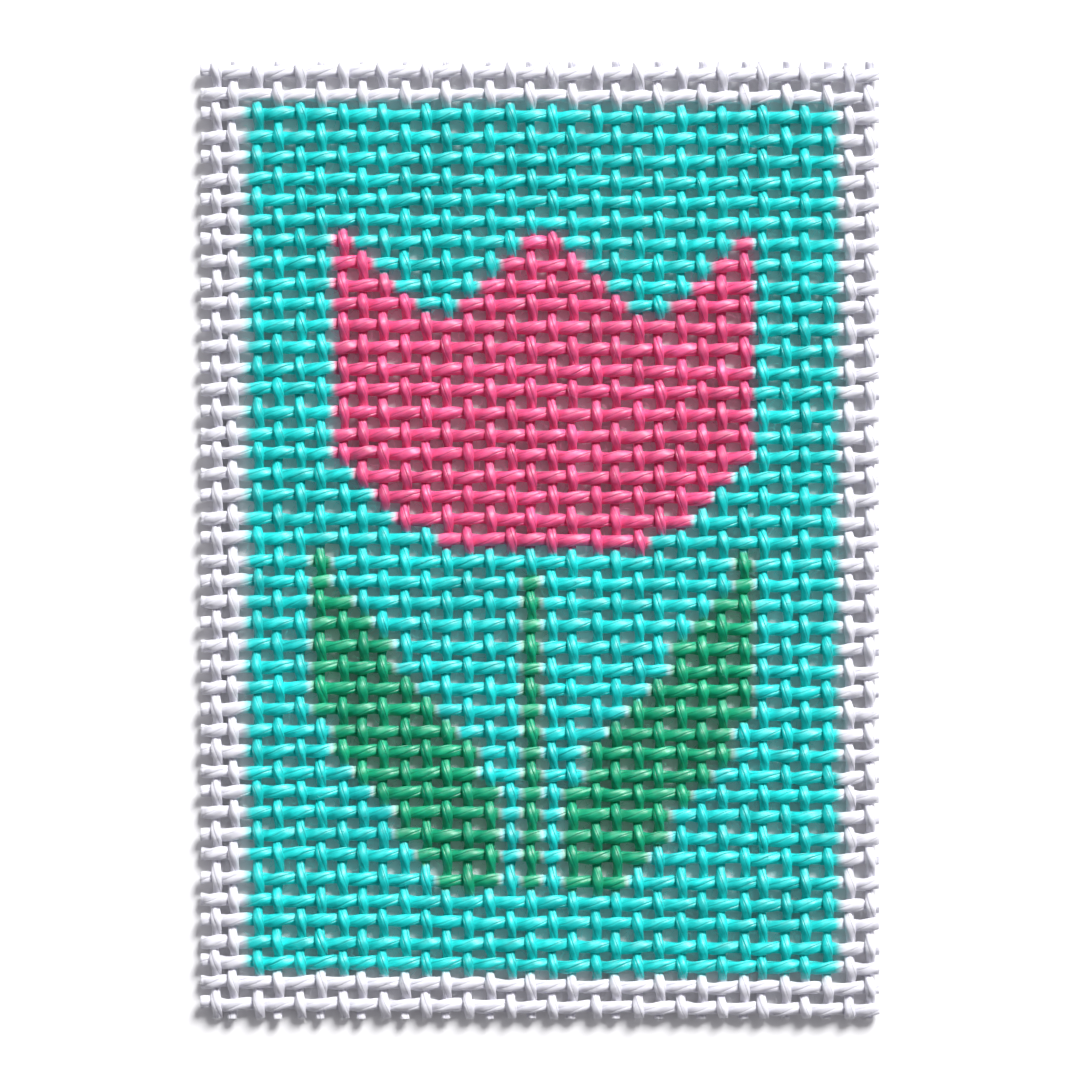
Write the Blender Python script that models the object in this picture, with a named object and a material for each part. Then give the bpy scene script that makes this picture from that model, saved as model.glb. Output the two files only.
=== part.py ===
"""Hand-painted needlepoint canvas panel: one cut piece of stiff mono canvas, lying flat.

Row frame, metres: the origin is under the middle of the panel, on the surface that it
lies on. +Z points up out of the painted face, +Y towards the flower's bloom and +X to
the right of it.
"""

import math

import bmesh
import bpy

MM = 0.001
INCH = 25.4 * MM

# The weave, as canvas is sold: so many threads to the inch
WARPS_PER_INCH = 13.0
WEFTS_PER_INCH = 12.95
WARP_COUNT = 32
WEFT_COUNT = 45
WARP_PITCH = INCH / WARPS_PER_INCH
WEFT_PITCH = INCH / WEFTS_PER_INCH

# One cotton thread, a little wider than high, and the sheet that two of them make
THREAD_WIDTH = 0.98 * MM
THREAD_THICKNESS = 0.86 * MM
SHEET_THICKNESS = 1.80 * MM

# From the centre of each outermost thread to the cut edge beyond it
CUT_LEFT = 1.31 * MM
CUT_RIGHT = 0.87 * MM
CUT_TOP = 1.18 * MM
CUT_BOTTOM = 1.05 * MM

# The wefts run a little downhill to the right, the lower ones more
TOP_WEFT_DROP = 0.34 * MM
BOTTOM_WEFT_DROP = 0.54 * MM

WIDTH = CUT_LEFT + (WARP_COUNT - 1) * WARP_PITCH + CUT_RIGHT
HEIGHT = CUT_TOP + (WEFT_COUNT - 1) * WEFT_PITCH + CUT_BOTTOM

# The paint that covers most of the face
TURQUOISE = (0.05, 0.62, 0.57, 1.0)
PAINTED_COTTON_ROUGHNESS = 0.65


def clear_scene():
    for thing in list(bpy.data.objects):
        bpy.data.objects.remove(thing, do_unlink=True)


def warp_x(column):
    """X of an upright thread's centreline, counted from the left."""
    return -WIDTH / 2 + CUT_LEFT + column * WARP_PITCH


def weft_y(row, x):
    """Y of a cross thread's centreline at x, rows counted from the top."""
    share = row / (WEFT_COUNT - 1)
    drop = TOP_WEFT_DROP + share * (BOTTOM_WEFT_DROP - TOP_WEFT_DROP)
    level = HEIGHT / 2 - CUT_TOP - row * WEFT_PITCH
    return level - drop / 2 * math.sin(math.pi * x / WIDTH)


def sheet_outline():
    """Corners of the woven sheet without its loose ends, anticlockwise from lower left.

    Each thread that ends at a side brings two corners there, so that its cut end can
    be drawn out of the wall between them. Returns the corners and, for each wall that
    a thread leaves by, (index of its first corner, the way out as (x, y)).
    """
    half = THREAD_WIDTH / 2
    left, right = warp_x(0) - half, warp_x(WARP_COUNT - 1) + half
    columns = range(WARP_COUNT)
    rows = range(WEFT_COUNT)
    corners, ends = [], []

    def add_side(spans, way_out):
        for first, second in spans:
            ends.append((len(corners), way_out))
            corners.extend((first, second))

    def across(column, row, side):
        near, far = warp_x(column) - half, warp_x(column) + half
        return [(x, weft_y(row, x) + side * half) for x in (near, far)]

    def upright(row, x):
        return [(x, weft_y(row, x) - half), (x, weft_y(row, x) + half)]

    last_row = WEFT_COUNT - 1
    add_side([across(column, last_row, -1) for column in columns], (0, -1))
    add_side([upright(row, right) for row in reversed(rows)], (1, 0))
    add_side([across(column, 0, 1)[::-1] for column in reversed(columns)], (0, 1))
    add_side([upright(row, left)[::-1] for row in rows], (-1, 0))
    return corners, ends


def build_canvas():
    """The sheet with the cut thread ends that stand out of its four sides."""
    corners, ends = sheet_outline()
    end_low = (SHEET_THICKNESS - THREAD_THICKNESS) / 2
    end_high = end_low + THREAD_THICKNESS
    levels = (0.0, end_low, end_high, SHEET_THICKNESS)

    shape = bmesh.new()
    rings = [[shape.verts.new((x, y, z)) for x, y in corners] for z in levels]
    count = len(corners)
    walls = {}
    for level in range(len(levels) - 1):
        low, high = rings[level], rings[level + 1]
        for first in range(count):
            second = (first + 1) % count
            quad = (low[first], low[second], high[second], high[first])
            walls[level, first] = shape.faces.new(quad)
    shape.faces.new(rings[-1])
    shape.faces.new(rings[0][::-1])

    for first, (out_x, out_y) in ends:
        drawn = bmesh.ops.extrude_discrete_faces(shape, faces=[walls[1, first]])
        for corner in drawn["faces"][0].verts:
            if out_x:
                corner.co.x = out_x * WIDTH / 2
            else:
                corner.co.y = out_y * HEIGHT / 2

    bmesh.ops.remove_doubles(shape, verts=shape.verts, dist=1e-7)
    bmesh.ops.recalc_face_normals(shape, faces=shape.faces)
    mesh = bpy.data.meshes.new("canvas")
    shape.to_mesh(mesh)
    shape.free()
    canvas = bpy.data.objects.new("canvas", mesh)
    bpy.context.scene.collection.objects.link(canvas)
    return canvas


def painted_cotton():
    """Matt turquoise paint on cotton thread."""
    finish = bpy.data.materials.new("painted_canvas")
    finish.use_nodes = True
    surface = finish.node_tree.nodes["Principled BSDF"]
    surface.inputs["Base Color"].default_value = TURQUOISE
    surface.inputs["Roughness"].default_value = PAINTED_COTTON_ROUGHNESS
    surface.inputs["Metallic"].default_value = 0.0
    finish.diffuse_color = TURQUOISE
    return finish


def main():
    clear_scene()
    canvas = build_canvas()
    canvas.data.materials.append(painted_cotton())


main()
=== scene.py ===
"""Looks of a hand-painted needlepoint canvas panel, built around its packed sheet.

The flat CAD sheet is replaced by its real threads: upright warps and cross wefts that go
over and under each other, each a twisted cotton cord of four plies with a cut end at
each side. Paint lies on the upper face of the threads, stitch by stitch.
"""

import logging
import math
from dataclasses import dataclass, field
from enum import Enum

import bpy
import numpy as np
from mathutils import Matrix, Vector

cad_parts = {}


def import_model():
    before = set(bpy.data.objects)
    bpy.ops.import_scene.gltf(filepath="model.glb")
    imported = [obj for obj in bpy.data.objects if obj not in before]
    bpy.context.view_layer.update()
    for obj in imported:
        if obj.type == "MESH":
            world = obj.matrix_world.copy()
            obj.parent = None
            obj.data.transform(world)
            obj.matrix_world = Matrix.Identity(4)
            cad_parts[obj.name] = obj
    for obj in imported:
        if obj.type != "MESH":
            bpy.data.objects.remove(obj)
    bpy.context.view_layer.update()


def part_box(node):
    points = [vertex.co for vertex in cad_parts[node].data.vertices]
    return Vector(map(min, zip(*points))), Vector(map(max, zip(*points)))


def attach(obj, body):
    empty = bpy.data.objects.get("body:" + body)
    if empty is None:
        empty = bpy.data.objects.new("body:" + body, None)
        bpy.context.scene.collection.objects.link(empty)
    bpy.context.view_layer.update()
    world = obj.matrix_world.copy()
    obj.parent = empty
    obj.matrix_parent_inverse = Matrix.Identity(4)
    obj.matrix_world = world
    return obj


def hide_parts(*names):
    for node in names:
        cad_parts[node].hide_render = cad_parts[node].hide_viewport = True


MM = 0.001
CANVAS = "canvas"

log = logging.getLogger("needlepoint_canvas")


class Paint(Enum):
    """What a stitch of the chart is painted with, as base colours."""

    BARE = (0.765, 0.757, 0.820)
    TURQUOISE = (0.008, 0.770, 0.750)
    PINK = (0.950, 0.125, 0.330)
    GREEN = (0.001, 0.465, 0.240)


class ThreadSet(Enum):
    """The two thread sets of a plain weave."""

    WARP = "warp"
    WEFT = "weft"


@dataclass(frozen=True)
class CottonThread:
    """One twisted cotton thread of the canvas, pressed a little flat at its crossings."""

    half_width_crossing: float
    half_width_between: float
    half_height_crossing: float = 0.400 * MM
    half_height_between: float = 0.440 * MM
    twist_length: float = 9.0 * MM
    plies: int = 4
    ply_profile: tuple[float, ...] = (0.84, 0.975, 1.03, 0.975)
    rings_per_pitch: int = 8

    @property
    def sides(self) -> int:
        """Corners of one ring round the thread."""
        return self.plies * len(self.ply_profile)


@dataclass
class TulipChart:
    """The painted design, drawn from arcs and straight lines on the stitch grid.

    Rows count down from the top thread and columns from the left one, so the centre of
    a stitch has whole numbers. The flower, stem and leaves share one upright axis.
    """

    first_row: int = 2
    last_row: int = 42
    first_column: int = 2
    last_column: int = 29
    axis: float = 15.5
    bloom_half_width: float = 10.0
    bloom_top: float = 7.5
    bloom_bottom: float = 22.3
    notch_row: float = 11.6
    notch_reach: float = 5.0
    crown_half_width: float = 0.9
    shoulder_row: float = 16.0
    base_half_width: float = 2.2
    stem_column: int = 15
    stem_top: int = 24
    foot_row: float = 38.5
    leaf_top: float = 22.6
    leaf_outer: float = 10.9
    leaf_bend_row: float = 29.6
    leaf_foot_outer: float = 4.1
    leaf_foot_inner: float = 1.9
    leaf_inner_row: float = 33.4
    leaf_tip_width: float = 0.6

    def in_bloom(self, row: float, column: float) -> bool:
        """Whether the stitch lies in the three-pointed bloom.

        Args:
            row: Row of the stitch.
            column: Column of the stitch.

        Returns:
            True inside the bloom.
        """
        away = abs(column - self.axis)
        if away > self.bloom_half_width or row > self.bloom_bottom:
            return False
        # Petal tips: straight slopes down from the crown and from the side tips
        if away <= self.notch_reach:
            fall = (away - self.crown_half_width) / (self.notch_reach - self.crown_half_width)
        else:
            fall = (self.bloom_half_width - away) / (self.bloom_half_width - self.notch_reach)
        edge = self.bloom_top + max(fall, 0.0) * (self.notch_row - self.bloom_top)
        if row < edge:
            return False
        # Cup: a quarter of an ellipse rounds each side into the flat base
        below = (row - self.shoulder_row) / (self.bloom_bottom - self.shoulder_row)
        if below <= 0:
            return True
        round_part = self.bloom_half_width - self.base_half_width
        reach = self.base_half_width + round_part * math.sqrt(max(1 - below * below, 0.0))
        return away <= reach

    def in_leaf(self, row: float, column: float) -> bool:
        """Whether the stitch lies in one of the two mirrored leaves.

        Args:
            row: Row of the stitch.
            column: Column of the stitch.

        Returns:
            True inside a leaf.
        """
        away = abs(column - self.stem_column)
        if not self.leaf_top <= row <= self.foot_row:
            return False
        down = (row - self.leaf_bend_row) / (self.foot_row - self.leaf_bend_row)
        outer = self.leaf_outer - max(down, 0.0) * (self.leaf_outer - self.leaf_foot_outer)
        along = min((row - self.leaf_top) / (self.leaf_inner_row - self.leaf_top), 1.0)
        tip = self.leaf_outer - self.leaf_tip_width
        inner = tip - along * (tip - self.leaf_foot_inner)
        return inner <= away <= outer

    def in_stem(self, row: int, column: int) -> bool:
        """Whether the stitch lies on the one-thread stem."""
        return column == self.stem_column and self.stem_top <= row <= self.foot_row

    def paint_of(self, row: int, column: int) -> Paint:
        """The paint of one stitch.

        Args:
            row: Row of the stitch.
            column: Column of the stitch.

        Returns:
            The paint, or BARE outside the painted ground.
        """
        on_rows = self.first_row <= row <= self.last_row
        if not (on_rows and self.first_column <= column <= self.last_column):
            return Paint.BARE
        if self.in_bloom(row, column):
            return Paint.PINK
        if self.in_leaf(row, column) or self.in_stem(row, column):
            return Paint.GREEN
        return Paint.TURQUOISE


@dataclass
class Weave:
    """Where every warp crosses every weft on the cut panel.

    The nominal grid comes from the CAD sheet's box. Each thread keeps its own small
    offset and wander, as threads of stiff canvas do.
    """

    low: np.ndarray
    high: np.ndarray
    warps: int = 32
    wefts: int = 45
    cut_left: float = 1.31 * MM
    cut_right: float = 0.87 * MM
    cut_top: float = 1.18 * MM
    cut_bottom: float = 1.05 * MM
    top_drop: float = 0.34 * MM
    bottom_drop: float = 0.54 * MM
    offset: float = 0.048
    offset_limit: float = 0.12
    wander: float = 0.022
    wander_lengths: tuple[float, ...] = (31.0, 13.0, 7.0)
    jitter: float = 0.016
    warp_rise: float = 0.490 * MM
    weft_rise: float = 0.250 * MM
    warp_squareness: float = 1.05
    weft_squareness: float = 1.60
    warp_late: float = 0.60
    weft_late: float = 0.00
    rise_jitter: float = 0.020 * MM
    lean: float = 0.085 * MM
    seed: int = 13
    cross_x: np.ndarray = field(init=False)
    cross_y: np.ndarray = field(init=False)
    height_shift: np.ndarray = field(init=False)
    rng: np.random.Generator = field(init=False)

    def __post_init__(self) -> None:
        """Lays out the crossings."""
        self.rng = np.random.default_rng(self.seed)
        columns = np.arange(self.warps)
        rows = np.arange(self.wefts)
        x = self.low[0] + self.cut_left + columns * self.warp_pitch
        level = self.high[1] - self.cut_top - rows * self.weft_pitch
        drop = self.top_drop + rows / (self.wefts - 1) * (self.bottom_drop - self.top_drop)
        slope = np.sin(math.pi * x / (self.high[0] - self.low[0])) / 2
        self.cross_x = x[None, :] + self.strays(self.warps, self.wefts).T * self.warp_pitch
        self.cross_y = level[:, None] - drop[:, None] * slope[None, :]
        self.cross_y = self.cross_y + self.strays(self.wefts, self.warps) * self.weft_pitch
        self.height_shift = self.rng.normal(0, self.rise_jitter, (self.wefts, self.warps))

    @property
    def warp_pitch(self) -> float:
        """Distance between neighbouring warps."""
        span = self.high[0] - self.low[0] - self.cut_left - self.cut_right
        return float(span / (self.warps - 1))

    @property
    def weft_pitch(self) -> float:
        """Distance between neighbouring wefts."""
        span = self.high[1] - self.low[1] - self.cut_top - self.cut_bottom
        return float(span / (self.wefts - 1))

    @property
    def middle(self) -> float:
        """Height of the sheet's middle."""
        return float(self.low[2] + self.high[2]) / 2

    def strays(self, threads: int, crossings: int) -> np.ndarray:
        """How far each thread lies beside its nominal line, in pitches.

        Args:
            threads: Number of threads.
            crossings: Number of crossings on each.

        Returns:
            One row for each thread, one value for each crossing.
        """
        at = np.arange(crossings)[None, :]
        own = self.rng.normal(0, self.offset, (threads, 1))
        own = np.clip(own, -self.offset_limit, self.offset_limit)
        total = np.repeat(own, crossings, axis=1)
        for length in self.wander_lengths:
            phase = self.rng.uniform(0, 2 * math.pi, (threads, 1))
            size = self.rng.uniform(0.4, 1.0, (threads, 1)) * self.wander
            total = total + size * np.sin(2 * math.pi * at / length + phase)
        return total + self.rng.normal(0, self.jitter, (threads, crossings))


def smooth_between(values: np.ndarray, at: np.ndarray) -> np.ndarray:
    """Reads a row of values at fractional places, through a smooth curve.

    Args:
        values: One value for each whole place.
        at: Places to read, also a little outside the ends.

    Returns:
        The value at each place.
    """
    first, last = 2 * values[0] - values[1], 2 * values[-1] - values[-2]
    padded = np.concatenate([[2 * first - values[0], first], values, [last, 2 * last - values[-1]]])
    base = np.clip(np.floor(at).astype(int), -1, len(values) - 1)
    share = at - base
    before, start, end, after = (padded[base + step] for step in (1, 2, 3, 4))
    return start + 0.5 * share * (
        end - before
        + share * (2 * before - 5 * start + 4 * end - after
                   + share * (3 * (start - end) + after - before))
    )


@dataclass
class Course:
    """One thread's way across the panel: its centreline, ring by ring."""

    points: np.ndarray
    places: np.ndarray
    number: int
    kind: ThreadSet

    def grid_places(self) -> tuple[np.ndarray, np.ndarray]:
        """Rows and columns of the rings, in stitches."""
        fixed = np.full(len(self.places), float(self.number))
        if self.kind is ThreadSet.WARP:
            return self.places, fixed
        return fixed, self.places


@dataclass
class ThreadLayer:
    """The threads of one set, made as a few joined pieces with paint and maps."""

    weave: Weave
    paint: "PaintJob"
    thread: CottonThread
    kind: ThreadSet
    bands: int = 2
    end_rag: float = 0.06 * MM
    slubs: tuple[tuple[float, float], ...] = ((0.035, 26.0), (0.045, 7.0))
    ply_unevenness: float = 0.055
    ply_spacing: float = 12.0
    twist_drift: float = 0.5
    twist_spacing: float = 40.0
    squared: tuple[float, ...] = (1.0, 0.66, 0.33)
    seed: int = 29
    rng: np.random.Generator = field(init=False)

    def __post_init__(self) -> None:
        """Seeds this layer's own variation."""
        self.rng = np.random.default_rng(self.seed + (self.kind is ThreadSet.WEFT))

    @property
    def count(self) -> int:
        """Number of threads in the set."""
        return self.weave.warps if self.kind is ThreadSet.WARP else self.weave.wefts

    def course(self, number: int) -> Course:
        """The centreline of one thread from cut end to cut end.

        Args:
            number: The thread's column, or its row for a weft.

        Returns:
            The thread's course.
        """
        weave = self.weave
        if self.kind is ThreadSet.WARP:
            across, along = weave.cross_x[:, number], weave.cross_y[:, number]
            start, end = weave.high[1], weave.low[1]
            rise, square, late = weave.warp_rise, weave.warp_squareness, weave.warp_late
            shift = weave.height_shift[:, number]
            sign = 1 if number % 2 == 0 else -1
        else:
            across, along = weave.cross_y[number], weave.cross_x[number]
            start, end = weave.low[0], weave.high[0]
            rise, square, late = weave.weft_rise, weave.weft_squareness, weave.weft_late
            shift = weave.height_shift[number]
            sign = -1 if number % 2 == 0 else 1
        inward = 1 if end > start else -1
        rag = self.rng.uniform(0, self.end_rag, 2)
        start, end = start + inward * rag[0], end - inward * rag[1]
        first = (start - along[0]) / (along[1] - along[0])
        last = len(along) - 1 + (end - along[-1]) / (along[-1] - along[-2])
        rings = int(round((last - first) * self.thread.rings_per_pitch)) + 1
        places = np.linspace(first, last, rings)
        # From -1 under a thread to 1 over one; a late thread is longer under than over
        wave = np.tanh(square * (sign * np.cos(math.pi * places) - late))
        top, foot = math.tanh(square * (1 - late)), math.tanh(square * (1 + late))
        wave = (2 * wave + foot - top) / (foot + top)
        slant = weave.lean * sign * np.sin(math.pi * places)
        side = smooth_between(across, places)
        run = smooth_between(along, places)
        height = weave.middle + rise * wave + smooth_between(shift, places)
        if self.kind is ThreadSet.WARP:
            points = np.stack([side + slant, run, height], 1)
        else:
            points = np.stack([run, side + slant, height], 1)
        return Course(points, places, number, self.kind)

    def rings(self, course: Course) -> tuple[np.ndarray, np.ndarray]:
        """Corners of the thread's surface, open at its cut ends.

        Args:
            course: The thread's course.

        Returns:
            Corners as (ring, side, xyz), and the place of each ring along the thread in
            metres.
        """
        thread, rng = self.thread, self.rng
        points, count = course.points, len(course.points)
        tangent = np.gradient(points, axis=0)
        tangent /= np.linalg.norm(tangent, axis=1, keepdims=True)
        up = np.array([0.0, 0.0, 1.0])
        side = np.cross(np.broadcast_to(up, tangent.shape), tangent)
        side /= np.linalg.norm(side, axis=1, keepdims=True)
        over = np.cross(tangent, side)
        length = np.concatenate([[0], np.cumsum(np.linalg.norm(np.diff(points, axis=0), axis=1))])

        pressed = 0.5 + 0.5 * np.cos(2 * math.pi * course.places)
        slub = np.ones(count)
        for size, spacing in self.slubs:
            slub += size * self.slow_noise(count, spacing)
        wide = thread.half_width_between + pressed * (
            thread.half_width_crossing - thread.half_width_between
        )
        tall = thread.half_height_between + pressed * (
            thread.half_height_crossing - thread.half_height_between
        )
        turn = 2 * math.pi * length / thread.twist_length
        turn = rng.uniform(0, 2 * math.pi) - turn
        turn -= self.twist_drift * self.slow_noise(count, self.twist_spacing)
        round_it = 2 * math.pi * np.arange(thread.sides) / thread.sides
        angle = turn[:, None] + round_it[None, :]
        profile = np.tile(thread.ply_profile, thread.plies)
        ply = np.repeat(
            np.stack([self.slow_noise(count, self.ply_spacing) for _ in range(thread.plies)], 1),
            len(thread.ply_profile),
            axis=1,
        )
        radius = profile[None, :] * (1 + self.ply_unevenness * ply) * slub[:, None]
        corners = (
            points[:, None, :]
            + (radius * wide[:, None] * np.cos(angle))[:, :, None] * side[:, None, :]
            + (radius * tall[:, None] * np.sin(angle))[:, :, None] * over[:, None, :]
        )
        corners[:, :, 2] = np.maximum(corners[:, :, 2], self.weave.low[2])
        # The shears cut upright, so the last rings turn square to the cut line
        axis = 1 if self.kind is ThreadSet.WARP else 0
        for ring, share in enumerate(self.squared):
            for at in (ring, -1 - ring):
                flat = points[at, axis]
                corners[at, :, axis] += share * (flat - corners[at, :, axis])
        return corners, length

    def slow_noise(self, count: int, spacing: float) -> np.ndarray:
        """Smooth random values along a thread, from about -1 to 1.

        Args:
            count: Number of rings.
            spacing: Rings from one random value to the next.

        Returns:
            One value for each ring.
        """
        values = self.rng.uniform(-1, 1, int(count / spacing) + 4)
        return smooth_between(values, np.arange(count) / spacing + 1)

    def build(self) -> list[bpy.types.Object]:
        """Models the set's threads, a few neighbouring ones to a piece.

        Returns:
            The pieces.
        """
        pieces = []
        for band, numbers in enumerate(np.array_split(np.arange(self.count), self.bands)):
            surface = ThreadSurface(f"{self.kind.value}_threads_{band + 1}", len(numbers))
            for number in numbers:
                course = self.course(int(number))
                corners, length = self.rings(course)
                pigment, cover = self.paint.on(corners, course)
                surface.add(corners, length, pigment, cover)
            pieces.append(surface.finish())
        return pieces


def differ(first: np.ndarray, second: np.ndarray) -> np.ndarray:
    """Where the colours of two arrays are not the same."""
    return np.abs(first - second).sum(-1) > 1e-6


@dataclass
class PaintJob:
    """The paint that lies on the threads, brushed on stitch by stitch from above."""

    chart: TulipChart
    weave: Weave
    soft_edge: float = 0.20
    bare_edge_warp: float = 0.10
    bare_edge_weft: float = 0.60
    reach_warp: float = 0.62
    reach_weft: float = 0.50
    seep: float = 0.3
    tone_spread: float = 0.045
    tone_limit: float = 0.12
    thin_coat: float = 1.15
    thin_from: float = 0.02
    thin_over: float = 0.16
    thin_bare: float = 0.03
    margin: int = 2
    seed: int = 41
    colours: np.ndarray = field(init=False)
    tones: np.ndarray = field(init=False)

    def __post_init__(self) -> None:
        """Reads the chart, with a margin of bare stitches on every side."""
        rows = range(-self.margin, self.weave.wefts + self.margin)
        columns = range(-self.margin, self.weave.warps + self.margin)
        self.colours = np.array(
            [[self.chart.paint_of(row, column).value for column in columns] for row in rows]
        )
        rng = np.random.default_rng(self.seed)
        tones = rng.normal(1, self.tone_spread, self.colours.shape[:2])
        self.tones = np.clip(tones, 1 - self.tone_limit, 1 + self.tone_limit)

    def of_stitch(self, row: np.ndarray, column: np.ndarray) -> tuple[np.ndarray, np.ndarray]:
        """The toned colour of some stitches, and 1 where they are painted.

        Args:
            row: Whole rows.
            column: Whole columns.

        Returns:
            Colours and cover.
        """
        place = row + self.margin, column + self.margin
        colour = self.colours[place]
        painted = differ(colour, np.array(Paint.BARE.value)).astype(float)
        return colour * self.tones[place][..., None], painted

    def stretched(self, places: np.ndarray, first_over: int, reach: float) -> np.ndarray:
        """Places along a thread, with each visible float drawn out to its painted reach.

        Args:
            places: Places along the thread, in stitches.
            first_over: A stitch where the thread lies on top.
            reach: How far from that stitch's centre its paint goes, in stitches.

        Returns:
            Places whose change of stitch, at every half, lies where the paint changes.
        """
        over = 2 * np.rint((places - first_over) / 2) + first_over
        way = places - over
        far = np.abs(way)
        inside = far * 0.5 / reach
        outside = 0.5 + (far - reach) * 0.5 / (1 - reach)
        return over + np.sign(way) * np.where(far < reach, inside, outside)

    def on(self, corners: np.ndarray, course: Course) -> tuple[np.ndarray, np.ndarray]:
        """The paint on one thread's surface.

        Args:
            corners: Corners as (ring, side, xyz).
            course: The thread's course.

        Returns:
            Colour of the paint and how fully it covers, one for each corner.
        """
        table = self.colours
        bare_edge = self.bare_edge_warp if course.kind is ThreadSet.WARP else self.bare_edge_weft
        rows, columns = course.grid_places()
        offset = corners - course.points[:, None, :]
        row = rows[:, None] - offset[:, :, 1] / self.weave.weft_pitch
        column = columns[:, None] + offset[:, :, 0] / self.weave.warp_pitch
        if course.kind is ThreadSet.WARP:
            row = self.stretched(row, course.number, self.reach_warp)
        else:
            column = self.stretched(column, course.number + 1, self.reach_weft)
        near_row, near_column = np.rint(row).astype(int), np.rint(column).astype(int)
        at_row, at_column = near_row + self.margin, near_column + self.margin
        pigment = table[at_row, at_column]
        bare = np.array(Paint.BARE.value)
        painted = differ(pigment, bare)
        cover = painted.astype(float)
        colour = pigment.copy()
        for step_row, step_column, gap in (
            (0, 1, 0.5 - (column - near_column)),
            (0, -1, 0.5 + (column - near_column)),
            (1, 0, 0.5 - (row - near_row)),
            (-1, 0, 0.5 + (row - near_row)),
        ):
            other = table[at_row + step_row, at_column + step_column]
            close = np.clip(1 - gap / self.soft_edge, 0, 1)
            close = close * close * (3 - 2 * close) * differ(other, pigment)
            cover = cover * (1 - np.where(painted, bare_edge, 0.0) * close)
            seep = ~painted & differ(other, bare)
            cover = np.where(seep, np.maximum(cover, self.seep * close), cover)
            colour = np.where(seep[:, :, None], other, colour)
        colour = colour * self.tones[at_row, at_column][:, :, None]
        # Only a thin, paler coat of paint reaches the flanks and the underside
        depth = offset[:, :, 2] / self.weave.weft_pitch
        under = np.clip((-depth - self.thin_from) / self.thin_over, 0, 1)
        colour += under[:, :, None] * (self.thin_coat * np.sqrt(colour) - colour)
        return colour, cover * (1 - self.thin_bare * under)


class ThreadSurface:
    """Gathers threads into one mesh with smooth faces, paint attributes and two maps."""

    BAKE_MARGIN = 0.06
    FIBRE_TURN = 3.7
    # Each cap ring's share of the end's width, and how far it stands out
    CAP_RINGS = ((0.82, 0.035 * MM), (0.40, 0.045 * MM), (0.02, 0.040 * MM))
    CAP_MAP_STEP = 0.12 * MM
    CAP_COVER = 0.3

    def __init__(self, name: str, threads: int) -> None:
        """Starts an empty surface.

        Args:
            name: Name of the piece.
            threads: How many threads it will hold.
        """
        self.name = name
        self.threads = threads
        self.added = 0
        self.corner_count = 0
        self.corners: list[np.ndarray] = []
        self.quads: list[np.ndarray] = []
        self.quad_bake: list[np.ndarray] = []
        self.quad_fibre: list[np.ndarray] = []
        self.pigment: list[np.ndarray] = []
        self.cover: list[np.ndarray] = []

    def add(
        self, corners: np.ndarray, length: np.ndarray, pigment: np.ndarray, cover: np.ndarray
    ) -> None:
        """Adds one thread.

        Args:
            corners: Corners as (ring, side, xyz).
            length: Place of each ring along the thread, in metres.
            pigment: Paint colour of each corner.
            cover: How fully the paint covers each corner.
        """
        corners, length, pigment, cover = self.capped(corners, length, pigment, cover)
        rings, sides = corners.shape[:2]
        ring, side = np.meshgrid(np.arange(rings - 1), np.arange(sides), indexing="ij")
        after = (side + 1) % sides
        quad = np.stack(
            [ring * sides + side, ring * sides + after,
             (ring + 1) * sides + after, (ring + 1) * sides + side], -1
        ).reshape(-1, 4)
        self.quads.append(quad + self.corner_count)

        low = (self.added + self.BAKE_MARGIN) / self.threads
        high = (self.added + 1 - self.BAKE_MARGIN) / self.threads
        round_it = low + (high - low) * np.arange(sides + 1) / sides
        metres = np.stack([length[ring], length[ring], length[ring + 1], length[ring + 1]], -1)
        v = np.stack([round_it[side], round_it[side + 1], round_it[side + 1], round_it[side]], -1)
        self.quad_bake.append(np.stack([metres / length[-1], v], -1).reshape(-1, 2))
        turn = np.stack([side, side + 1, side + 1, side], -1) / sides
        turn += self.added * self.FIBRE_TURN
        self.quad_fibre.append(np.stack([metres / MM, turn], -1).reshape(-1, 2))

        self.corners.append(corners.reshape(-1, 3))
        self.pigment.append(pigment.reshape(-1, 3))
        self.cover.append(cover.reshape(-1))
        self.corner_count += rings * sides
        self.added += 1

    def capped(
        self, corners: np.ndarray, length: np.ndarray, pigment: np.ndarray, cover: np.ndarray
    ) -> tuple[np.ndarray, np.ndarray, np.ndarray, np.ndarray]:
        """Adds shrinking rings that close both cut ends.

        Args:
            corners: Corners as (ring, side, xyz).
            length: Place of each ring along the thread.
            pigment: Paint colour of each corner.
            cover: Cover of each corner.

        Returns:
            The same four with the caps' rings.
        """
        parts = [corners]
        lengths = [length]
        caps = len(self.CAP_RINGS)
        for end, inner in ((0, 1), (-1, -2)):
            centre = corners[end].mean(0)
            way = centre - corners[inner].mean(0)
            way /= np.linalg.norm(way)
            rings = [
                centre + (corners[end] - centre) * share + way * out
                for share, out in self.CAP_RINGS
            ]
            steps = (np.arange(caps) + 1) * self.CAP_MAP_STEP
            if end == 0:
                parts.insert(0, np.stack(rings[::-1]))
                lengths.insert(0, length[0] - steps[::-1])
            else:
                parts.append(np.stack(rings))
                lengths.append(length[-1] + steps)
        joined = np.concatenate(parts)
        places = np.concatenate(lengths)
        thin = np.full((caps, 1), self.CAP_COVER)
        cover = np.concatenate([cover[:1] * thin, cover, cover[-1:] * thin])
        pigment = np.concatenate(
            [np.repeat(pigment[:1], caps, 0), pigment, np.repeat(pigment[-1:], caps, 0)]
        )
        return joined, places - places[0], pigment, cover

    def finish(self) -> bpy.types.Object:
        """Makes the mesh object.

        Returns:
            The piece, with its place in its mesh.
        """
        return new_piece(
            self.name,
            np.concatenate(self.corners),
            [np.concatenate(self.quads)],
            {"fibres": np.concatenate(self.quad_fibre), "OFBake": np.concatenate(self.quad_bake)},
            np.concatenate(self.pigment),
            np.concatenate(self.cover),
        )


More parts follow.
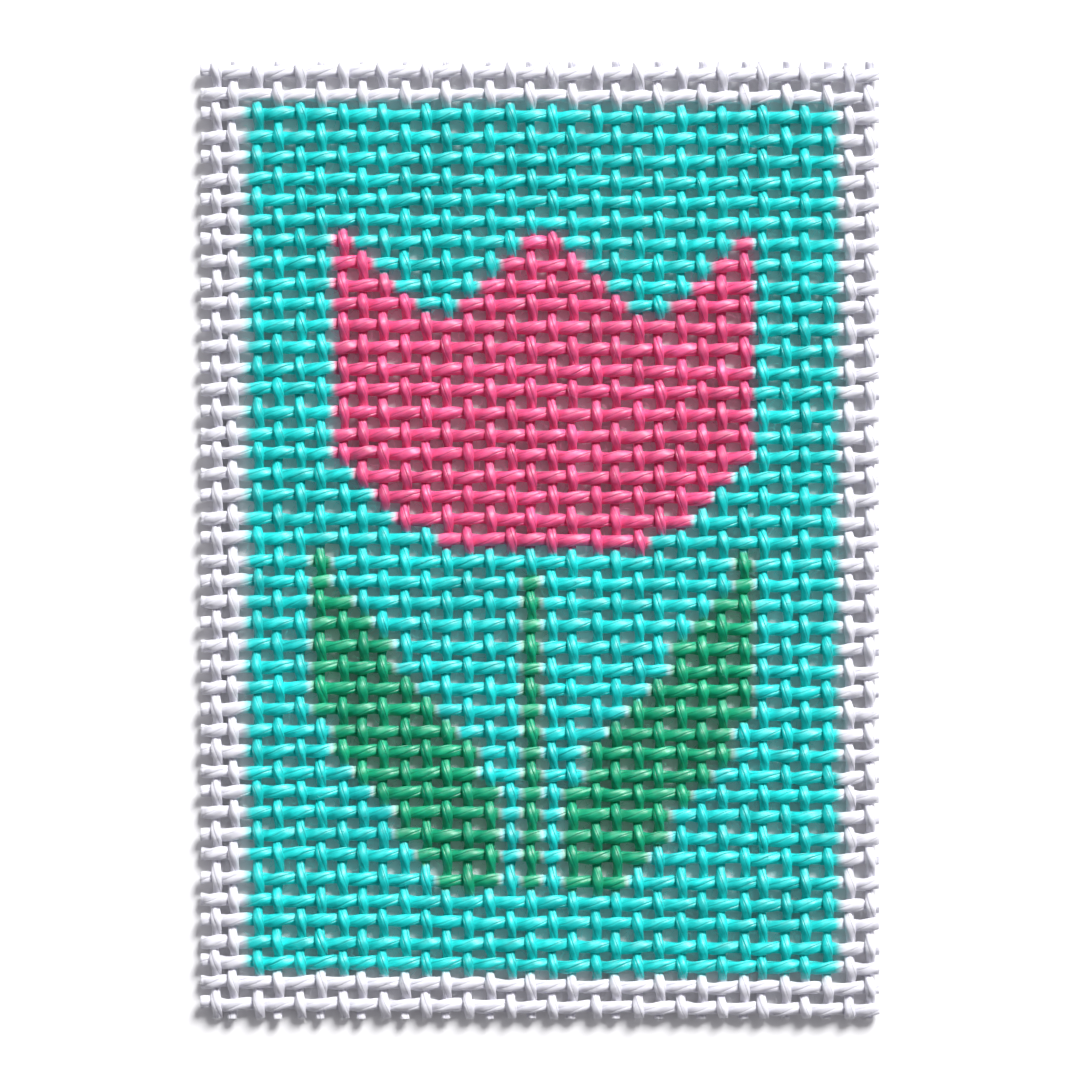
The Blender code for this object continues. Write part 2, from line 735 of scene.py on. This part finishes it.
def new_piece(
    name: str,
    corners: np.ndarray,
    faces: list[np.ndarray],
    maps: dict[str, np.ndarray],
    pigment: np.ndarray,
    cover: np.ndarray,
) -> bpy.types.Object:
    """Makes a smooth mesh object with its maps and paint.

    Args:
        name: Name of the piece.
        corners: Places of the corners.
        faces: Groups of faces with as many corners each, as corner numbers.
        maps: UV places of each map, one for each face corner in the faces' order.
        pigment: Paint colour of each corner.
        cover: How fully the paint covers each corner.

    Returns:
        The piece, with its place in its mesh.
    """
    mesh = bpy.data.meshes.new(name)
    mesh.vertices.add(len(corners))
    mesh.vertices.foreach_set("co", corners.astype(np.float32).ravel())
    numbers = np.concatenate([group.ravel() for group in faces])
    sizes = np.concatenate([np.full(len(group), group.shape[1]) for group in faces])
    mesh.loops.add(len(numbers))
    mesh.loops.foreach_set("vertex_index", numbers.astype(np.int32))
    mesh.polygons.add(len(sizes))
    starts = np.concatenate([[0], np.cumsum(sizes)[:-1]])
    mesh.polygons.foreach_set("loop_start", starts.astype(np.int32))
    mesh.update(calc_edges=True)
    mesh.validate()
    for label, places in maps.items():
        layer = mesh.uv_layers.new(name=label)
        layer.data.foreach_set("uv", places.astype(np.float32).ravel())
    colours = np.ones((len(corners), 4), np.float32)
    colours[:, :3] = pigment
    mesh.attributes.new("pigment", "FLOAT_COLOR", "POINT").data.foreach_set("color", colours.ravel())
    covers = mesh.attributes.new("cover", "FLOAT", "POINT")
    covers.data.foreach_set("value", cover.astype(np.float32))
    mesh.shade_smooth()
    piece = bpy.data.objects.new(name, mesh)
    bpy.context.scene.collection.objects.link(piece)
    return piece


@dataclass
class StrayFibres:
    """Fine cotton hairs that reach into the holes, lie on the threads and fray the ends."""

    weave: Weave
    paint: PaintJob
    warp: CottonThread
    weft: CottonThread
    in_each_hole: int = 4
    on_the_face: int = 1800
    at_each_end: int = 10
    thickness: float = 0.030 * MM
    shortest: float = 0.35 * MM
    longest: float = 1.15 * MM
    flank_share: float = 0.9
    hole_spread: float = 0.42 * MM
    hole_turn: float = 1.2
    hole_heights: tuple[float, float] = (-0.34 * MM, 0.30 * MM)
    hole_slope: float = 0.12 * MM
    face_height: float = 0.96
    face_sunk: float = 0.05 * MM
    face_along: float = 0.5 * MM
    face_across: float = 0.18 * MM
    face_length: float = 0.8
    face_slope: tuple[float, float] = (-0.25, 0.12)
    end_inset: float = 0.12 * MM
    end_spread: float = 0.38 * MM
    end_turn: float = 0.55
    end_lengths: tuple[float, float] = (0.20 * MM, 0.55 * MM)
    end_height: float = 0.28 * MM
    end_slope: float = 0.10 * MM
    bow_aside: float = 0.14
    bow_up: float = 0.05
    ring_shares: tuple[float, ...] = (0.0, 0.35, 0.72)
    taper: tuple[float, ...] = (1.0, 0.9, 0.7)
    thicknesses: tuple[float, float] = (0.7, 1.25)
    tones: tuple[float, float] = (0.85, 1.15)
    coat: float = 0.95
    bands: int = 2
    seed: int = 53
    rng: np.random.Generator = field(init=False)

    def __post_init__(self) -> None:
        """Seeds the hairs' own variation."""
        self.rng = np.random.default_rng(self.seed)

    def in_holes(self) -> tuple[np.ndarray, np.ndarray]:
        """Hairs that leave a thread's flank and reach into the hole beside it.

        Returns:
            Root and tip of each hair.
        """
        rng, weave = self.rng, self.weave
        x = (weave.cross_x[:-1, :-1] + weave.cross_x[1:, 1:]) / 2
        y = (weave.cross_y[:-1, :-1] + weave.cross_y[1:, 1:]) / 2
        x, y = (np.repeat(part.ravel(), self.in_each_hole) for part in (x, y))
        count = len(x)
        reach_x = weave.warp_pitch / 2 - self.warp.half_width_between * self.flank_share
        reach_y = weave.weft_pitch / 2 - self.weft.half_width_between * self.flank_share
        side = rng.integers(0, 4, count) * math.pi / 2
        way = np.stack([np.cos(side), np.sin(side)], 1)
        aside = np.stack([-way[:, 1], way[:, 0]], 1)
        reach = np.where(np.abs(way[:, 0]) > 0.5, reach_x, reach_y)
        root = np.stack([x, y], 1) - way * reach[:, None]
        root += aside * rng.uniform(-self.hole_spread, self.hole_spread, count)[:, None]
        turn = rng.uniform(-self.hole_turn, self.hole_turn, count)
        length = rng.uniform(self.shortest, self.longest, count)
        tip = root + (way * np.cos(turn)[:, None] + aside * np.sin(turn)[:, None]) * length[:, None]
        low = weave.middle + rng.uniform(*self.hole_heights, count)
        high = low + rng.normal(0, self.hole_slope, count)
        return np.column_stack([root, low]), np.column_stack([tip, high])

    def on_face(self) -> tuple[np.ndarray, np.ndarray]:
        """Hairs that lie over the tops of the threads.

        Returns:
            Root and tip of each hair.
        """
        rng, weave, count = self.rng, self.weave, self.on_the_face
        row = rng.integers(0, weave.wefts, count)
        column = rng.integers(0, weave.warps, count)
        is_warp = (row + column) % 2 == 0
        rise = np.where(is_warp, weave.warp_rise, weave.weft_rise)
        top = weave.middle + rise + self.warp.half_height_crossing * self.face_height
        along = rng.uniform(-self.face_along, self.face_along, count)
        across = rng.uniform(-self.face_across, self.face_across, count)
        x = weave.cross_x[row, column] + np.where(is_warp, across, along)
        y = weave.cross_y[row, column] + np.where(is_warp, along, across)
        turn = rng.uniform(0, 2 * math.pi, count)
        length = rng.uniform(self.shortest, self.longest, count) * self.face_length
        slope = rng.uniform(*self.face_slope, count)
        root = np.column_stack([x, y, top - self.face_sunk])
        return root, root + np.column_stack([np.cos(turn), np.sin(turn), slope]) * length[:, None]

    def at_ends(self) -> tuple[np.ndarray, np.ndarray]:
        """Hairs that fray out of the cut ends.

        Returns:
            Root and tip of each hair.
        """
        rng, weave = self.rng, self.weave
        roots, ways = [], []
        for edge_x, way in ((weave.low[0], -1), (weave.high[0], 1)):
            y = weave.cross_y[:, 0 if way < 0 else -1]
            roots.append(np.column_stack([np.full(len(y), edge_x - way * self.end_inset), y]))
            ways.append(np.tile([way, 0], (len(y), 1)))
        for edge_y, way in ((weave.low[1], -1), (weave.high[1], 1)):
            x = weave.cross_x[-1 if way < 0 else 0]
            roots.append(np.column_stack([x, np.full(len(x), edge_y - way * self.end_inset)]))
            ways.append(np.tile([0, way], (len(x), 1)))
        root = np.repeat(np.concatenate(roots), self.at_each_end, axis=0)
        way = np.repeat(np.concatenate(ways), self.at_each_end, axis=0).astype(float)
        count = len(root)
        aside = np.stack([-way[:, 1], way[:, 0]], 1)
        root += aside * rng.uniform(-self.end_spread, self.end_spread, count)[:, None]
        turn = rng.normal(0, self.end_turn, count)
        length = rng.uniform(*self.end_lengths, count)
        tip = root + (way * np.cos(turn)[:, None] + aside * np.sin(turn)[:, None]) * length[:, None]
        low = weave.middle + rng.uniform(-self.end_height, self.end_height, count)
        high = low + rng.normal(0, self.end_slope, count)
        return np.column_stack([root, low]), np.column_stack([tip, high])

    def build(self) -> list[bpy.types.Object]:
        """Models the hairs, as tapered three-sided rods with one bow each.

        Returns:
            The pieces, from the panel's top to its foot.
        """
        groups = [self.in_holes(), self.on_face(), self.at_ends()]
        root = np.concatenate([group[0] for group in groups])
        tip = np.concatenate([group[1] for group in groups])
        order = np.argsort(-root[:, 1], kind="stable")
        pieces = []
        for band, chosen in enumerate(np.array_split(order, self.bands)):
            pieces.append(self.rods(f"stray_fibres_{band + 1}", root[chosen], tip[chosen]))
        return pieces

    @staticmethod
    def on_faces(places: np.ndarray, steps: np.ndarray) -> np.ndarray:
        """Lays every face of a hair on the same small patch of a map.

        Args:
            places: Where each hair's patch starts.
            steps: From there to the patch's four corners.

        Returns:
            Map places of all the quads, then of all the triangles.
        """
        patch = places[:, None, :] + steps[None]
        quads, triangles = np.repeat(patch, 6, axis=0), np.repeat(patch[:, :3], 4, axis=0)
        return np.concatenate([quads.reshape(-1, 2), triangles.reshape(-1, 2)])

    def rods(self, name: str, root: np.ndarray, tip: np.ndarray) -> bpy.types.Object:
        """One piece of hairs.

        Args:
            name: Name of the piece.
            root: Root of each hair.
            tip: Tip of each hair.

        Returns:
            The piece.
        """
        rng, weave, count = self.rng, self.weave, len(root)
        line = tip - root
        length = np.linalg.norm(line, axis=1, keepdims=True)
        side = np.column_stack([-line[:, 1], line[:, 0], np.zeros(count)])
        side /= np.maximum(np.linalg.norm(side, axis=1, keepdims=True), 1e-9)
        over = np.cross(line / length, side)
        bow = rng.normal(0, self.bow_aside, (count, 1)) * length * side
        bow += rng.normal(0, self.bow_up, (count, 1)) * length * over
        shares = np.array(self.ring_shares)
        middle = (root[:, None, :] + shares[None, :, None] * line[:, None, :]
                  + (4 * shares * (1 - shares))[None, :, None] * bow[:, None, :])
        thick = self.thickness / 2 * rng.uniform(*self.thicknesses, (count, 1))
        thick = thick * np.array([self.taper])
        angles = 2 * math.pi * np.arange(3) / 3
        corners = (
            middle[:, :, None, :]
            + (thick[:, :, None] * np.cos(angles))[..., None] * side[:, None, None, :]
            + (thick[:, :, None] * np.sin(angles))[..., None] * over[:, None, None, :]
        )
        corners = np.concatenate([corners.reshape(count, 9, 3), tip[:, None, :]], axis=1)
        corners[..., 2] = np.maximum(corners[..., 2], weave.low[2] + self.thickness)

        # Three rings of three corners and the tip make ten corners a hair
        each = corners.shape[1]
        first = (each * np.arange(count))[:, None, None]
        after = [1, 2, 0]
        sides = [[ring * 3 + k, ring * 3 + after[k], ring * 3 + 3 + after[k], ring * 3 + 3 + k]
                 for ring in range(2) for k in range(3)]
        ends = [[6, 7, 9], [7, 8, 9], [8, 6, 9], [2, 1, 0]]
        quads = (first + np.array(sides)[None]).reshape(-1, 4)
        triangles = (first + np.array(ends)[None]).reshape(-1, 3)

        # Each hair has its own small cell of the colour map
        cells = math.ceil(math.sqrt(count))
        cell = np.stack([np.arange(count) % cells, np.arange(count) // cells], 1) / cells
        spread = np.array([[0.3, 0.3], [0.7, 0.3], [0.7, 0.7], [0.3, 0.7]]) / cells
        bake = self.on_faces(cell, spread)
        # A hair has no plies, so it keeps to the middle of one
        lane = np.column_stack([rng.uniform(0, 60, count), 0.125 + np.arange(count) * 0.25])
        step = np.array([[0.0, 0.0], [0.0, 0.02], [0.4, 0.02], [0.4, 0.0]])
        fibres = self.on_faces(lane, step)

        row = np.clip(np.rint((weave.high[1] - weave.cut_top - root[:, 1]) / weave.weft_pitch),
                      -1, weave.wefts).astype(int)
        column = np.clip(np.rint((root[:, 0] - weave.low[0] - weave.cut_left) / weave.warp_pitch),
                         -1, weave.warps).astype(int)
        pigment, cover = self.paint.of_stitch(row, column)
        pigment = pigment * rng.uniform(*self.tones, (count, 1))
        return new_piece(
            name, corners.reshape(-1, 3), [quads, triangles], {"fibres": fibres, "OFBake": bake},
            np.repeat(pigment, each, axis=0), np.repeat(cover * self.coat, each),
        )


def math_node(
    tree: bpy.types.NodeTree, operation: str, *values: bpy.types.NodeSocket | float
) -> bpy.types.NodeSocket:
    """Adds one Math node.

    Args:
        tree: Node tree to add it to.
        operation: Its operation.
        values: Sockets or numbers for its inputs.

    Returns:
        Its output socket.
    """
    node = tree.nodes.new("ShaderNodeMath")
    node.operation = operation
    for slot, value in zip(node.inputs, values):
        if isinstance(value, bpy.types.NodeSocket):
            tree.links.new(value, slot)
        else:
            slot.default_value = value
    return node.outputs[0]


def graded(
    value: bpy.types.NodeSocket, span: tuple[float, float], result: tuple[float, float]
) -> bpy.types.NodeSocket:
    """Adds one Map Range node.

    Args:
        value: Socket of the number to map.
        span: The lowest and highest number that come in.
        result: What those two become.

    Returns:
        Its output socket.
    """
    tree = value.id_data
    node = tree.nodes.new("ShaderNodeMapRange")
    for name, number in zip(("From Min", "From Max", "To Min", "To Max"), span + result):
        node.inputs[name].default_value = number
    tree.links.new(value, node.inputs["Value"])
    return node.outputs["Result"]


@dataclass(frozen=True)
class PaintedCotton:
    """Finish of the threads: matt white cotton where bare, satin paint elsewhere."""

    name: str = "painted_cotton"
    paint_roughness: float = 0.46
    cotton_roughness: float = 0.80
    gloss_index: float = 1.6
    gloss_level: float = 1.0
    light_reach: float = 0.20 * MM
    plies: int = 4
    strand_stretch: tuple[float, float, float] = (0.9, 26.0, 1.0)
    strand_tone: tuple[float, float] = (0.82, 1.08)
    blotch_scale: float = 420.0
    blotch_tone: tuple[float, float] = (0.80, 1.08)
    groove_sharpness: float = 7.0
    # How far painted shade darkens the colour in the ply grooves, on paint and on bare cotton
    groove_shade_in_paint: float = 0.34
    groove_shade_in_cotton: float = 0.08
    streak_thinning: float = 0.05
    fibre_depth: float = 0.035
    groove_depth: float = 0.050

    def material(self) -> bpy.types.Material:
        """The node material of every thread.

        Returns:
            The material.
        """
        made = bpy.data.materials.new(self.name)
        made.use_nodes = True
        tree = made.node_tree
        nodes, link = tree.nodes, tree.links.new
        surface = nodes["Principled BSDF"]

        pigment = nodes.new("ShaderNodeAttribute")
        pigment.attribute_name = "pigment"
        cover = nodes.new("ShaderNodeAttribute")
        cover.attribute_name = "cover"
        fibres = nodes.new("ShaderNodeUVMap")
        fibres.uv_map = "fibres"
        stretch = nodes.new("ShaderNodeMapping")
        stretch.inputs["Scale"].default_value = self.strand_stretch
        link(fibres.outputs["UV"], stretch.inputs["Vector"])
        strands = nodes.new("ShaderNodeTexNoise")
        strands.noise_dimensions = "2D"
        strands.inputs["Scale"].default_value = 1.0
        strands.inputs["Detail"].default_value = 4.0
        strands.inputs["Roughness"].default_value = 0.62
        strands.inputs["Distortion"].default_value = 0.35
        link(stretch.outputs["Vector"], strands.inputs["Vector"])
        # A dip wherever two of the four plies meet, used for the bump and for painted shade in the
        # grooves
        split = nodes.new("ShaderNodeSeparateXYZ")
        link(fibres.outputs["UV"], split.inputs["Vector"])
        turns = math_node(tree, "MULTIPLY", split.outputs["Y"], float(self.plies))
        within = math_node(tree, "FRACT", turns)
        centred = math_node(tree, "MULTIPLY_ADD", within, 2.0, -1.0)
        away = math_node(tree, "ABSOLUTE", centred)
        groove = math_node(tree, "POWER", away, self.groove_sharpness)

        place = nodes.new("ShaderNodeTexCoord")
        blotches = nodes.new("ShaderNodeTexNoise")
        blotches.inputs["Scale"].default_value = self.blotch_scale
        blotches.inputs["Detail"].default_value = 2.0
        link(place.outputs["Object"], blotches.inputs["Vector"])

        tone = graded(blotches.outputs["Fac"], (0.25, 0.75), self.blotch_tone)
        grain = graded(strands.outputs["Fac"], (0.30, 0.70), self.strand_tone)
        # Painted shade: the paint colour is darkened in the ply grooves
        painted_groove_shade = math_node(tree, "MULTIPLY_ADD", groove, -self.groove_shade_in_paint, 1.0)
        shade = math_node(tree, "MULTIPLY", painted_groove_shade, grain)
        level = math_node(tree, "MULTIPLY", shade, tone)
        toned = nodes.new("ShaderNodeVectorMath")
        toned.operation = "SCALE"
        link(pigment.outputs["Color"], toned.inputs[0])
        link(level, toned.inputs["Scale"])
        cotton = nodes.new("ShaderNodeVectorMath")
        cotton.operation = "SCALE"
        cotton.inputs[0].default_value = Paint.BARE.value
        # Painted shade: bare cotton is a little darker in the ply grooves
        pale = math_node(tree, "MULTIPLY_ADD", groove, -self.groove_shade_in_cotton, 1.0)
        link(pale, cotton.inputs["Scale"])

        streak = graded(strands.outputs["Fac"], (0.62, 0.80), (0.0, self.streak_thinning))
        thinned = math_node(tree, "SUBTRACT", cover.outputs["Fac"], streak)
        thinned.node.use_clamp = True
        coat = nodes.new("ShaderNodeMix")
        coat.data_type = "RGBA"
        link(cotton.outputs["Vector"], coat.inputs["A"])
        link(thinned, coat.inputs["Factor"])
        link(toned.outputs["Vector"], coat.inputs["B"])
        link(coat.outputs["Result"], surface.inputs["Base Color"])

        roughness = (self.cotton_roughness, self.paint_roughness)
        link(graded(cover.outputs["Fac"], (0.0, 1.0), roughness), surface.inputs["Roughness"])

        relief = math_node(tree, "MULTIPLY_ADD", groove, -self.groove_depth, 0.0)
        relief = math_node(tree, "MULTIPLY_ADD", strands.outputs["Fac"], self.fibre_depth, relief)
        bump = nodes.new("ShaderNodeBump")
        bump.inputs["Strength"].default_value = 1.0
        bump.inputs["Distance"].default_value = MM
        link(relief, bump.inputs["Height"])
        link(bump.outputs["Normal"], surface.inputs["Normal"])
        surface.inputs["IOR"].default_value = self.gloss_index
        surface.inputs["Specular IOR Level"].default_value = self.gloss_level
        surface.inputs["Subsurface Weight"].default_value = 1.0
        surface.inputs["Subsurface Radius"].default_value = (1.0, 1.0, 1.0)
        surface.inputs["Subsurface Scale"].default_value = self.light_reach
        return made


@dataclass
class Studio:
    """A pale table, one slanting key light, pale surroundings and the camera."""

    panel_width_pixels: float = 680.0
    picture_pixels: float = 1080.0
    lens: float = 135.0
    sensor: float = 36.0
    key_height: float = 38.0
    key_turn: float = 27.0
    key_distance: float = 2.0
    key_size: float = 0.8
    key_power: float = 59.0
    fill: float = 0.50
    fill_lean: float = 0.7
    ring: tuple[float, float] = (40.0, 56.0)
    ring_fade: tuple[float, float] = (12.0, 10.0)
    dark_share: float = 0.30
    low_share: float = 0.45
    room_colour: tuple[float, ...] = (0.96, 0.95, 1.0, 1.0)
    table_colour: tuple[float, ...] = (0.97, 0.965, 0.975, 1.0)
    table_size: float = 3.0

    def build(self, low: np.ndarray, high: np.ndarray) -> None:
        """Sets up the table, lights, world and camera.

        Args:
            low: Lowest corner of the panel.
            high: Highest corner of the panel.
        """
        self.table()
        self.key()
        self.surroundings()
        self.camera(low, high)
        view = bpy.context.scene.view_settings
        view.view_transform = "Standard"
        view.look = "None"

    def table(self) -> None:
        """A pale matt table top at the panel's underside."""
        bpy.ops.object.select_all(action="DESELECT")
        bpy.ops.mesh.primitive_plane_add(size=self.table_size)
        top = bpy.context.active_object
        top.name = "table_top"
        paper = bpy.data.materials.new("pale_table")
        paper.use_nodes = True
        surface = paper.node_tree.nodes["Principled BSDF"]
        surface.inputs["Base Color"].default_value = self.table_colour
        surface.inputs["Roughness"].default_value = 0.9
        surface.inputs["Specular IOR Level"].default_value = 0.1
        top.data.materials.append(paper)

    def key(self) -> None:
        """The main light, a wide disk over the table's upper right."""
        height, turn = math.radians(self.key_height), math.radians(self.key_turn)
        way = np.array(
            [math.cos(height) * math.sin(turn), math.cos(height) * math.cos(turn), math.sin(height)]
        )
        lamp = bpy.data.lights.new("key", "AREA")
        lamp.shape = "DISK"
        lamp.size = self.key_size
        lamp.energy = self.key_power
        holder = bpy.data.objects.new("key", lamp)
        holder.location = way * self.key_distance
        holder.rotation_euler = (math.pi / 2 - height, 0.0, math.pi - turn)
        bpy.context.scene.collection.objects.link(holder)

    def surroundings(self) -> None:
        """A pale ring of light half-way up, dimmer below it and straight above.

        Light from the ring falls on the flanks of the threads but not between them, so
        what reaches the table there has mostly come off their paint.
        """
        world = bpy.data.worlds.new("pale_room")
        world.use_nodes = True
        tree = world.node_tree
        light = tree.nodes["Background"]
        light.inputs["Color"].default_value = self.room_colour
        way = tree.nodes.new("ShaderNodeTexCoord")
        split = tree.nodes.new("ShaderNodeSeparateXYZ")
        rings = tree.nodes.new("ShaderNodeValToRGB")
        rings.color_ramp.interpolation = "EASE"
        inner, outer = self.ring
        fade_in, fade_out = self.ring_fade
        stops = rings.color_ramp.elements
        stops[0].position, stops[1].position = 0.0, 1.0
        shares = {outer + fade_out: self.low_share, outer: 1.0, inner: 1.0,
                  inner - fade_in: self.dark_share}
        for angle, share in shares.items():
            stops.new(math.cos(math.radians(angle))).color = (share, share, share, 1.0)
        stops[0].color = (self.low_share, self.low_share, self.low_share, 1.0)
        stops[len(stops) - 1].color = (self.dark_share, self.dark_share, self.dark_share, 1.0)
        tree.links.new(way.outputs["Generated"], split.inputs["Vector"])
        tree.links.new(split.outputs["Z"], rings.inputs["Fac"])
        # The side that the key light comes from is the brighter one
        toward = tree.nodes.new("ShaderNodeVectorMath")
        toward.operation = "DOT_PRODUCT"
        turn = math.radians(self.key_turn)
        toward.inputs[1].default_value = (
            self.fill_lean * math.sin(turn), self.fill_lean * math.cos(turn), 0.0
        )
        tree.links.new(way.outputs["Generated"], toward.inputs[0])
        leaning = math_node(tree, "ADD", toward.outputs["Value"], 1.0)
        shaped = math_node(tree, "MULTIPLY", rings.outputs["Color"], leaning)
        strength = math_node(tree, "MULTIPLY", shaped, self.fill)
        tree.links.new(strength, light.inputs["Strength"])
        world.cycles_visibility.glossy = False
        bpy.context.scene.world = world

    def camera(self, low: np.ndarray, high: np.ndarray) -> None:
        """Looks straight down at the middle of the panel, as the photo does."""
        metres_per_pixel = (high[0] - low[0]) / self.panel_width_pixels
        frame_width = metres_per_pixel * self.picture_pixels
        lens = bpy.data.cameras.new("camera")
        lens.lens = self.lens
        lens.sensor_width = self.sensor
        eye = bpy.data.objects.new("camera", lens)
        distance = frame_width * self.lens / self.sensor
        eye.location = (0.0, 0.0, float(high[2]) + distance)
        bpy.context.scene.collection.objects.link(eye)
        bpy.context.scene.camera = eye


def main() -> None:
    """Builds the panel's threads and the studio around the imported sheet."""
    logging.basicConfig(level=logging.INFO, format="%(message)s")
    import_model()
    low, high = (np.array(corner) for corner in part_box(CANVAS))
    weave = Weave(low, high)
    paint = PaintJob(TulipChart(), weave)
    warp = CottonThread(half_width_crossing=0.52 * MM, half_width_between=0.44 * MM)
    weft = CottonThread(half_width_crossing=0.60 * MM, half_width_between=0.58 * MM)
    finish = PaintedCotton().material()
    pieces: list[bpy.types.Object] = []
    for kind, thread in ((ThreadSet.WARP, warp), (ThreadSet.WEFT, weft)):
        pieces += ThreadLayer(weave, paint, thread, kind).build()
    hairs = StrayFibres(weave, paint, warp, weft).build()
    for piece in pieces + hairs:
        piece.data.materials.append(finish)
        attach(piece, "root")
        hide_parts(CANVAS)
        log.info("%s: %d faces", piece.name, len(piece.data.polygons))
    Studio().build(low, high)


if __name__ == "__main__":
    main()
